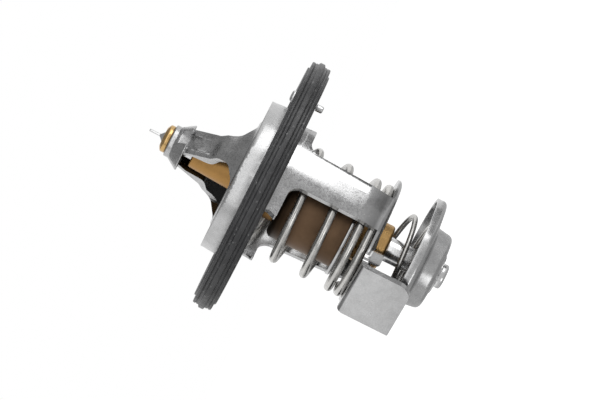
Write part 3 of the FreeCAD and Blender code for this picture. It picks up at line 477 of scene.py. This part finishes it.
def polished_steel():
    """Ground and polished steel of the piston, the stem and the pin."""
    sheet = NodeSheet("polished_steel")
    steel = colours().steel
    marks = sheet.noise(90.0, 3.0, 0.6, sheet.stretched(1, 1, 60))
    base = sheet.blend(sheet.spread(marks, 0.35, 0.7, 0.0, 1.0), opaque(steel, 1.1), opaque(steel, 1.4))
    sheet.set(Base_Color=base, Metallic=1.0, Roughness=sheet.spread(marks, 0.3, 0.7, 0.14, 0.26))
    sheet.set(Normal=sheet.bump(marks, 0.05, 0.00005))
    return sheet.material


def plain_plastic(name, colour):
    """Pale plastic or wax, hidden inside the can."""
    sheet = NodeSheet(name)
    cloud = sheet.noise(400.0, 4.0)
    base = sheet.blend(cloud, opaque(colour, 0.9), opaque(colour, 1.0))
    sheet.set(Base_Color=base, Roughness=0.5, Normal=sheet.bump(cloud, 0.1, 0.0001))
    return sheet.material


def refine_bridge(form):
    """Sharpens the dome's corner, bends the legs' feet to the flare, trims the skirt and softens the channels."""
    for vert in form.verts:
        x, y, z = vert.co
        across = math.hypot(x, y)
        if across > DOME_INNER and z > DOME_CORNER_LOW:
            wide = min(DOME_CORNER, (across - DOME_INNER) * CORNER_FILL)
            high = min(DOME_CORNER, (z - DOME_CORNER_LOW) * CORNER_FILL)
            flat = Vector((x, y, 0)) * ((DOME_INNER + wide) / across)
            vert.co = flat + Vector((0, 0, DOME_CORNER_LOW + high))
        elif abs(x) > LEG_INNER and abs(y) < LEG_SIDE and FLARE_TOP - FLARE_MARGIN < z < KNEE:
            share = min(1.0, (KNEE - z) / (KNEE - FLARE_TOP))
            reach = FLARE_REACH - LEG_SLOPE * max(0.0, z - FLARE_TOP)
            past = abs(x) - math.sqrt(reach * reach - y * y)
            if past > 0:
                vert.co.x -= math.copysign(past, x) * share
        elif SKIRT_LOW < z < SKIRT_HIGH:
            limit = SKIRT_OUTER - SKIRT_TAPER * (z - SKIRT_LOW) / (SKIRT_HIGH - SKIRT_LOW)
            if across > limit:
                vert.co.xy = vert.co.xy * (limit / across)
    soften_channels(form)


def in_channel(place):
    """True for a place in the channel of a leg, between the flare and the middle of the leg."""
    beside = abs(place.x) > CHANNEL_INNER and abs(place.y) < CHANNEL_SIDE
    return beside and CHANNEL_LOW < place.z < CHANNEL_HIGH


def reaches_channel(edge):
    """True for an edge with an end or its middle in a channel."""
    start, end = edge.verts[0].co, edge.verts[1].co
    return in_channel(start) or in_channel(end) or in_channel((start + end) / 2)


def looks_out(vert):
    """True for a point of the outer side of a leg."""
    outward = vert.normal.x * math.copysign(1, vert.co.x)
    return outward > LEAST_OUTWARD and vert.normal.z > LEAST_UPWARD


def soften_channels(form):
    """Lets the channel of each leg run softly out into the flare."""
    for _ in range(NET_ROUNDS):
        long = [edge for edge in form.edges if edge.calc_length() > CHANNEL_NET and reaches_channel(edge)]
        bmesh.ops.subdivide_edges(form, edges=long, cuts=1)
        bmesh.ops.triangulate(form, faces=[face for face in form.faces if len(face.verts) > 3])
    form.normal_update()
    soft = [vert for vert in form.verts if in_channel(vert.co) and looks_out(vert)]
    for _ in range(SOFT_PASSES):
        bmesh.ops.smooth_vert(
            form, verts=soft, factor=0.5, use_axis_x=True, use_axis_y=True, use_axis_z=True)


def straighten_foot(form):
    """Lets the foot of the frame run on into its leg without a step."""
    for vert in form.verts:
        across = math.hypot(vert.co.x, vert.co.y)
        share = (FOOT_TOP - vert.co.z) / (FOOT_TOP - LEG_TURN)
        if across < FOOT_INNER or share <= 0 or share >= 1:
            continue
        step = min(1.0, (FOOT_TOP - vert.co.z) / (FOOT_TOP - FOOT_LOW))
        middle = FOOT_OUTER - FOOT_STEP * step - FOOT_SHEET / 2
        wanted = FOOT_OUTER - FOOT_STEP * share - (0 if across > middle else FOOT_SHEET)
        vert.co.xy = vert.co.xy * (wanted / across)


def dressed(node, material, rounding=None, reshape=None):
    """Smooth, finely rounded copy of a CAD node that stands for it."""
    source = frame["nodes"][node]
    mesh = bpy.data.meshes.new(node + "_finish")
    piece = linked(node + "_finish", mesh)
    form = bmesh.new()
    form.from_mesh(source.data)
    bmesh.ops.remove_doubles(form, verts=form.verts, dist=CAD_WELD)
    bmesh.ops.dissolve_degenerate(form, edges=form.edges, dist=CAD_SLIVER)
    if reshape:
        reshape(form)
    bmesh.ops.dissolve_limit(form, angle_limit=FLAT, verts=form.verts, edges=form.edges)
    form.to_mesh(mesh)
    form.free()
    shade(mesh)
    bevel = piece.modifiers.new("rounding", "BEVEL")
    bevel.limit_method = "ANGLE"
    bevel.angle_limit = sizes_of_pieces().sharp
    bevel.width = sizes_of_pieces().rounding if rounding is None else rounding
    bevel.segments = 2
    bevel.harden_normals = True
    settle(piece, node, material)


def settle(piece, node, material):
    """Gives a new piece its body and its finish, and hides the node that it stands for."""
    piece.data.materials.append(material)
    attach(piece, frame["nodes"][node]["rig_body"])
    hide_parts(node)
    return piece


def round_corner(form, vert, radius):
    """Rounds one corner of a flat outline."""
    ends = [edge.other_vert(vert).co - vert.co for edge in vert.link_edges]
    half = ends[0].angle(ends[1]) / 2
    trim = min(radius / math.tan(half), TRIM_SHARE * min(ends[0].length, ends[1].length))
    if trim < LEAST_TRIM:
        return
    segments = 6 if radius > LARGE_CORNER else 3
    bmesh.ops.bevel(
        form, geom=[vert], offset=trim, offset_type="OFFSET", segments=segments, profile=0.5,
        affect="VERTICES", material=-1)


def turned_piece(node, material):
    """Piece spun about the axis from the half section of its node."""
    sizes = sizes_of_pieces()
    corners = HALF_SECTIONS[node]
    form = bmesh.new()
    verts = [form.verts.new((across * MM, 0, height * MM)) for across, height, _ in corners]
    for i, vert in enumerate(verts):
        form.edges.new((vert, verts[(i + 1) % len(verts)]))
    for vert, (across, _, bend) in zip(verts, corners):
        if across > 0:
            round_corner(form, vert, max(bend * MM, sizes.break_edge))
    bmesh.ops.spin(
        form, geom=form.verts[:] + form.edges[:], cent=(0, 0, 0), axis=(0, 0, 1), angle=math.tau,
        steps=sizes.steps, use_merge=True)
    bmesh.ops.remove_doubles(form, verts=form.verts, dist=WELD)
    bmesh.ops.dissolve_degenerate(form, edges=form.edges, dist=SLIVER)
    bmesh.ops.recalc_face_normals(form, faces=form.faces)
    mesh = bpy.data.meshes.new(node + "_turned")
    form.to_mesh(mesh)
    form.free()
    shade(mesh)
    settle(linked(node + "_turned", mesh), node, material)


def steady_slope(stations, i):
    """Slope at one station, zero at the ends and where the values stop changing."""
    if i == 0 or i == len(stations) - 1:
        return 0.0
    before = stations[i] - stations[i - 1]
    after = stations[i + 1] - stations[i]
    if before * after <= 0:
        return 0.0
    return 2 * before * after / (before + after)


def between(stations, place):
    """Smooth value between stations one step apart, without overshoot."""
    i = min(int(place), len(stations) - 2)
    share = place - i
    square = share * share
    cube = square * share
    value = stations[i] + (stations[i + 1] - stations[i]) * (3 * square - 2 * cube)
    value += steady_slope(stations, i) * (share - 2 * square + cube)
    return value + steady_slope(stations, i + 1) * (cube - square)


def eased(share):
    """Share from 0 to 1 that starts and ends gently."""
    share = max(0.0, min(1.0, share))
    return share * share * (3 - 2 * share)


def wound_spring(node, coil, wire, material):
    """Round wire wound down through the drops that are given at every half turn."""
    count = int(round(coil["half_turns"] * COIL_POINTS))
    curve = bpy.data.curves.new(node + "_line", "CURVE")
    curve.dimensions = "3D"
    curve.bevel_depth = wire / 2
    curve.bevel_resolution = 7
    curve.use_fill_caps = True
    line = curve.splines.new("POLY")
    line.points.add(count)
    for i in range(count + 1):
        place = i / COIL_POINTS
        angle = math.radians(COIL_START_ANGLE - 180 * place)
        fall = between(coil["drops"], place)
        height = coil["high"] + (coil["low"] - coil["high"]) * fall
        widening = eased((place - coil["widen"][0]) / (coil["widen"][1] - coil["widen"][0]))
        radius = coil["radii"][0] + (coil["radii"][1] - coil["radii"][0]) * widening
        shift = coil["shifts"][0] + (coil["shifts"][1] - coil["shifts"][0]) * fall
        line.points[i].co = (
            radius * math.cos(angle) * MM, (radius * math.sin(angle) - shift) * MM, height * MM, 1)
    drawn = linked(node + "_line", curve)
    bpy.context.view_layer.update()
    shown = drawn.evaluated_get(bpy.context.evaluated_depsgraph_get())
    mesh = bpy.data.meshes.new_from_object(shown)
    bpy.data.objects.remove(drawn)
    bpy.data.curves.remove(curve)
    form = bmesh.new()
    form.from_mesh(mesh)
    bmesh.ops.remove_doubles(form, verts=form.verts, dist=WELD)
    bmesh.ops.recalc_face_normals(form, faces=form.faces)
    form.to_mesh(mesh)
    form.free()
    shade(mesh)
    mesh.name = node + "_wound"
    return settle(linked(node + "_wound", mesh), node, material)


def keep_node(node, material):
    """CAD node that stays as it is, with its finish."""
    slots = frame["nodes"][node].data.materials
    slots.clear()
    slots.append(material)


class THERMOSTAT_OT_pressings(bpy.types.Operator):
    """Bridge, frame, valve plate, disc and clips, all pressed from steel sheet"""
    bl_idname = "thermostat.pressings"
    bl_label = "Pressings"

    def execute(self, context):
        # Painted shade: inner darkens the bridge's faces that look back to the axis.
        bridge = pressed_steel(
            "bridge_steel", gloss=0.22, grit=1.3, clean=(0.0058, 0.0068), inner=0.14, bulge=(0.0018, 0.0066))
        dressed("upper_bridge", bridge, reshape=refine_bridge)
        # Painted shade: inner and below darken the frame's faces that look back to the axis low down, and bend
        # darkens where its legs bend inward.
        legs = pressed_steel(
            "frame_steel", grit=1.3, clean=(-0.0215, -0.0195), inner=0.2, below=(-0.0248, -0.0254),
            bend=(-0.0195, -0.0238, -0.0246))
        dressed("lower_frame", legs, reshape=straighten_foot)
        turned_piece("bypass_disc", pressed_steel("disc_steel", gloss=0.19, grit=0.5))
        valve = pressed_steel("valve_steel", grit=0.5)
        turned_piece("main_valve_plate", valve)
        turned_piece("can_end_ring", valve)
        for node in ("valve_washer", "stem_clip"):
            dressed(node, valve, rounding=SMALL_ROUNDING)
        return {"FINISHED"}


class THERMOSTAT_OT_rubber(bpy.types.Operator):
    """Flange seal, valve ring, boot and packing"""
    bl_idname = "thermostat.rubber"
    bl_label = "Rubber"

    def execute(self, context):
        turned_piece("flange_seal", moulded_rubber("seal_rubber", True))
        inner = moulded_rubber("valve_rubber", False)
        turned_piece("main_valve_seal", inner)
        for node in ("guide_packing", "rubber_boot"):
            keep_node(node, inner)
        return {"FINISHED"}


class THERMOSTAT_OT_element(bpy.types.Operator):
    """Guide, can, tail and bush of brass and bronze, with the steel piston and stem"""
    bl_idname = "thermostat.element"
    bl_label = "Wax element"

    def execute(self, context):
        tint = colours()
        turned_piece("piston_bush", turned_brass("bush_brass", tint.bush, 0.22, 0.2))
        turned_piece("piston_guide", turned_brass("guide_brass", tint.guide, 0.42, 0.1))
        turned_piece("tail_cup", turned_brass("tail_brass", tint.tail, 0.25, 0.15))
        # The last pair of heights gives painted shade on the upper end of the can.
        bronze = turned_brass("can_bronze", tint.can, 0.42, 0.08, (-0.0096, -0.0066))
        turned_piece("wax_can", bronze)
        steel = polished_steel()
        turned_piece("piston", steel)
        turned_piece("bypass_stem", steel)
        dressed("jiggle_pin", steel, rounding=SMALL_ROUNDING)
        keep_node("scraper_washer", plain_plastic("white_plastic", (0.85, 0.85, 0.83)))
        keep_node("wax_charge", plain_plastic("wax", (0.8, 0.74, 0.6)))
        return {"FINISHED"}


class THERMOSTAT_OT_springs(bpy.types.Operator):
    """Main spring, bypass spring and the clip of the valve"""
    bl_idname = "thermostat.springs"
    bl_label = "Springs"

    def execute(self, context):
        wire = drawn_wire()
        sizes = sizes_of_pieces()
        main = wound_spring("main_spring", MAIN_COIL, sizes.main_wire, wire)
        small = wound_spring("bypass_spring", BYPASS_COIL, sizes.bypass_wire, wire)
        dressed("valve_clip", wire, rounding=SMALL_ROUNDING)
        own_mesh(main)
        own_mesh(small)
        return {"FINISHED"}


def glow(name, strength):
    """Material of a surface that only gives light."""
    material = bpy.data.materials.new(name)
    material.use_nodes = True
    tree = material.node_tree
    tree.nodes.clear()
    emission = tree.nodes.new("ShaderNodeEmission")
    emission.inputs["Strength"].default_value = strength
    output = tree.nodes.new("ShaderNodeOutputMaterial")
    tree.links.new(emission.outputs["Emission"], output.inputs["Surface"])
    return material


def seen_by(tree, rays):
    """Output that is 1 for the given kinds of ray and 0 for all others."""
    paths = tree.nodes.new("ShaderNodeLightPath")
    seen = paths.outputs[rays[0]]
    for ray in rays[1:]:
        either = tree.nodes.new("ShaderNodeMath")
        either.operation = "MAXIMUM"
        tree.links.new(seen, either.inputs[0])
        tree.links.new(paths.outputs[ray], either.inputs[1])
        seen = either.outputs[0]
    return seen


def white_world():
    """World that is white to the camera and to gloss, and dimmer as light."""
    world = bpy.data.worlds.new("studio")
    bpy.context.scene.world = world
    world.use_nodes = True
    tree = world.node_tree
    background = tree.nodes["Background"]
    background.inputs["Color"].default_value = (1, 1, 1, 1)
    clear = seen_by(tree, ("Is Camera Ray", "Is Glossy Ray", "Is Transmission Ray"))
    level = tree.nodes.new("ShaderNodeMapRange")
    level.inputs["To Min"].default_value = WORLD_LIGHT
    level.inputs["To Max"].default_value = 1.0
    tree.links.new(clear, level.inputs["Value"])
    tree.links.new(level.outputs["Result"], background.inputs["Strength"])


def pale_floor(height, half):
    """Pale floor, white to the camera where no shadow falls on it."""
    form = bmesh.new()
    bmesh.ops.create_grid(form, x_segments=1, y_segments=1, size=half)
    bmesh.ops.translate(form, vec=(0, 0, height), verts=form.verts)
    mesh = bpy.data.meshes.new("floor")
    form.to_mesh(mesh)
    form.free()
    material = bpy.data.materials.new("pale_floor")
    material.use_nodes = True
    tree = material.node_tree
    shader = tree.nodes["Principled BSDF"]
    shader.inputs["Base Color"].default_value = (0.93, 0.93, 0.93, 1)
    shader.inputs["Roughness"].default_value = 0.9
    shader.inputs["Emission Color"].default_value = (1, 1, 1, 1)
    level = tree.nodes.new("ShaderNodeMath")
    level.operation = "MULTIPLY"
    level.inputs[1].default_value = FLOOR_GLOW
    tree.links.new(seen_by(tree, ("Is Camera Ray", "Is Glossy Ray")), level.inputs[0])
    tree.links.new(level.outputs[0], shader.inputs["Emission Strength"])
    mesh.materials.append(material)
    linked("floor", mesh)


def add_card(name, place, square_to, width, height, level):
    """Flat card that only shows in gloss, square to one direction or turned to the middle of the part."""
    down, up, near = axis_frame()
    offset = down * place[0] + up * place[1] + near * place[2]
    facing = {"down": down, "up": up, "near": near, "middle": offset.normalized()}[square_to]
    side = near if square_to == "down" else down
    side = (side - facing * side.dot(facing)).normalized()
    turn = Matrix((side, facing.cross(side), facing)).transposed().to_4x4()
    form = bmesh.new()
    bmesh.ops.create_grid(form, x_segments=1, y_segments=1, size=0.5)
    bmesh.ops.scale(form, vec=(width, height, 1), verts=form.verts)
    shift = Matrix.Translation(Vector(stage_sizes().middle) + offset)
    bmesh.ops.transform(form, matrix=shift @ turn, verts=form.verts)
    mesh = bpy.data.meshes.new(name)
    form.to_mesh(mesh)
    form.free()
    card = linked(name, mesh)
    mesh.materials.append(glow(name, level))
    card.visible_camera = False
    card.visible_diffuse = False
    card.visible_shadow = False
    card.visible_transmission = False


def axis_frame():
    """Directions down the part's axis, square to it in the picture, and to the camera."""
    azimuth = math.radians(stage_sizes().azimuth)
    back = Vector((math.sin(azimuth), -math.cos(azimuth), 0))
    return Vector((0, 0, -1)), Vector((0, 0, 1)).cross(back), back


def view_axes():
    """Right, up and back directions of the picture."""
    sizes = stage_sizes()
    azimuth = math.radians(sizes.azimuth)
    elevation = math.radians(sizes.elevation)
    tilt = math.radians(sizes.tilt)
    back = Vector((
        math.sin(azimuth) * math.cos(elevation),
        -math.cos(azimuth) * math.cos(elevation),
        math.sin(elevation)))
    level = Vector((0, 0, 1)).cross(back).normalized()
    upright = back.cross(level)
    right = level * math.sin(tilt) - upright * math.cos(tilt)
    up = level * math.cos(tilt) + upright * math.sin(tilt)
    return right, up, back


def add_camera():
    """Camera that sees the part as the photograph does."""
    sizes = stage_sizes()
    right, up, back = view_axes()
    data = bpy.data.cameras.new("camera")
    data.lens = sizes.lens
    data.clip_start = 0.01
    data.clip_end = 50
    camera = linked("camera", data)
    turn = Matrix((right, up, back)).transposed().to_4x4()
    middle = Vector(sizes.middle)
    camera.matrix_world = Matrix.Translation(middle + back * sizes.distance) @ turn
    bpy.context.scene.camera = camera


def add_lamp(name, offset, width, height, power):
    """Soft box placed by picture directions, aimed at the middle of the part."""
    right, up, back = view_axes()
    middle = Vector(stage_sizes().middle)
    place = middle + right * offset[0] + up * offset[1] + back * offset[2]
    data = bpy.data.lights.new(name, "AREA")
    data.shape = "RECTANGLE"
    data.size = width
    data.size_y = height
    data.energy = power
    lamp = linked(name, data)
    lamp.location = place
    lamp.visible_glossy = False
    lamp.rotation_mode = "QUATERNION"
    lamp.rotation_quaternion = (place - middle).to_track_quat("Z", "Y")


class THERMOSTAT_OT_stage(bpy.types.Operator):
    """Floor, lamps, cards, white background and camera"""
    bl_idname = "thermostat.stage"
    bl_label = "Stage"

    def execute(self, context):
        context.scene.view_settings.view_transform = "Standard"
        white_world()
        pale_floor(CAD_BOX[0].z - stage_sizes().floor_gap, FLOOR_HALF)
        add_camera()
        for lamp in LAMPS:
            add_lamp(*lamp)
        for card in CARDS:
            add_card(*card)
        return {"FINISHED"}


class THERMOSTAT_PT_panel(bpy.types.Panel):
    """Buttons of the thermostat's studio"""
    bl_label = "Engine thermostat"
    bl_idname = "THERMOSTAT_PT_panel"
    bl_space_type = "VIEW_3D"
    bl_region_type = "UI"
    bl_category = "Thermostat"

    def draw(self, context):
        for step in STEPS:
            self.layout.operator(step.bl_idname)
        for group in GROUPS:
            box = self.layout.box()
            values = getattr(context.scene, group)
            for key in values.__annotations__:
                box.prop(values, key)


STEPS = (
    THERMOSTAT_OT_pressings,
    THERMOSTAT_OT_rubber,
    THERMOSTAT_OT_element,
    THERMOSTAT_OT_springs,
    THERMOSTAT_OT_stage,
)
GROUPS = {
    "thermostat_stage": StageSizes,
    "thermostat_colours": FinishColours,
    "thermostat_pieces": PieceSizes,
}
PANELS = (THERMOSTAT_PT_panel,)


def register():
    for name, group in GROUPS.items():
        bpy.utils.register_class(group)
        setattr(bpy.types.Scene, name, bpy.props.PointerProperty(type=group))
    for item in STEPS + PANELS:
        bpy.utils.register_class(item)


def unregister():
    for item in reversed(STEPS + PANELS):
        bpy.utils.unregister_class(item)
    for name, group in GROUPS.items():
        delattr(bpy.types.Scene, name)
        bpy.utils.unregister_class(group)


def run_step(step):
    """Calls one operator and stops if it doesn't finish."""
    group, name = step.bl_idname.split(".")
    if getattr(getattr(bpy.ops, group), name)() != {"FINISHED"}:
        raise RuntimeError(step.bl_idname + " didn't finish")


def main():
    register()
    for step in STEPS:
        run_step(step)
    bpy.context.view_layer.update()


if __name__ == "__main__":
    main()
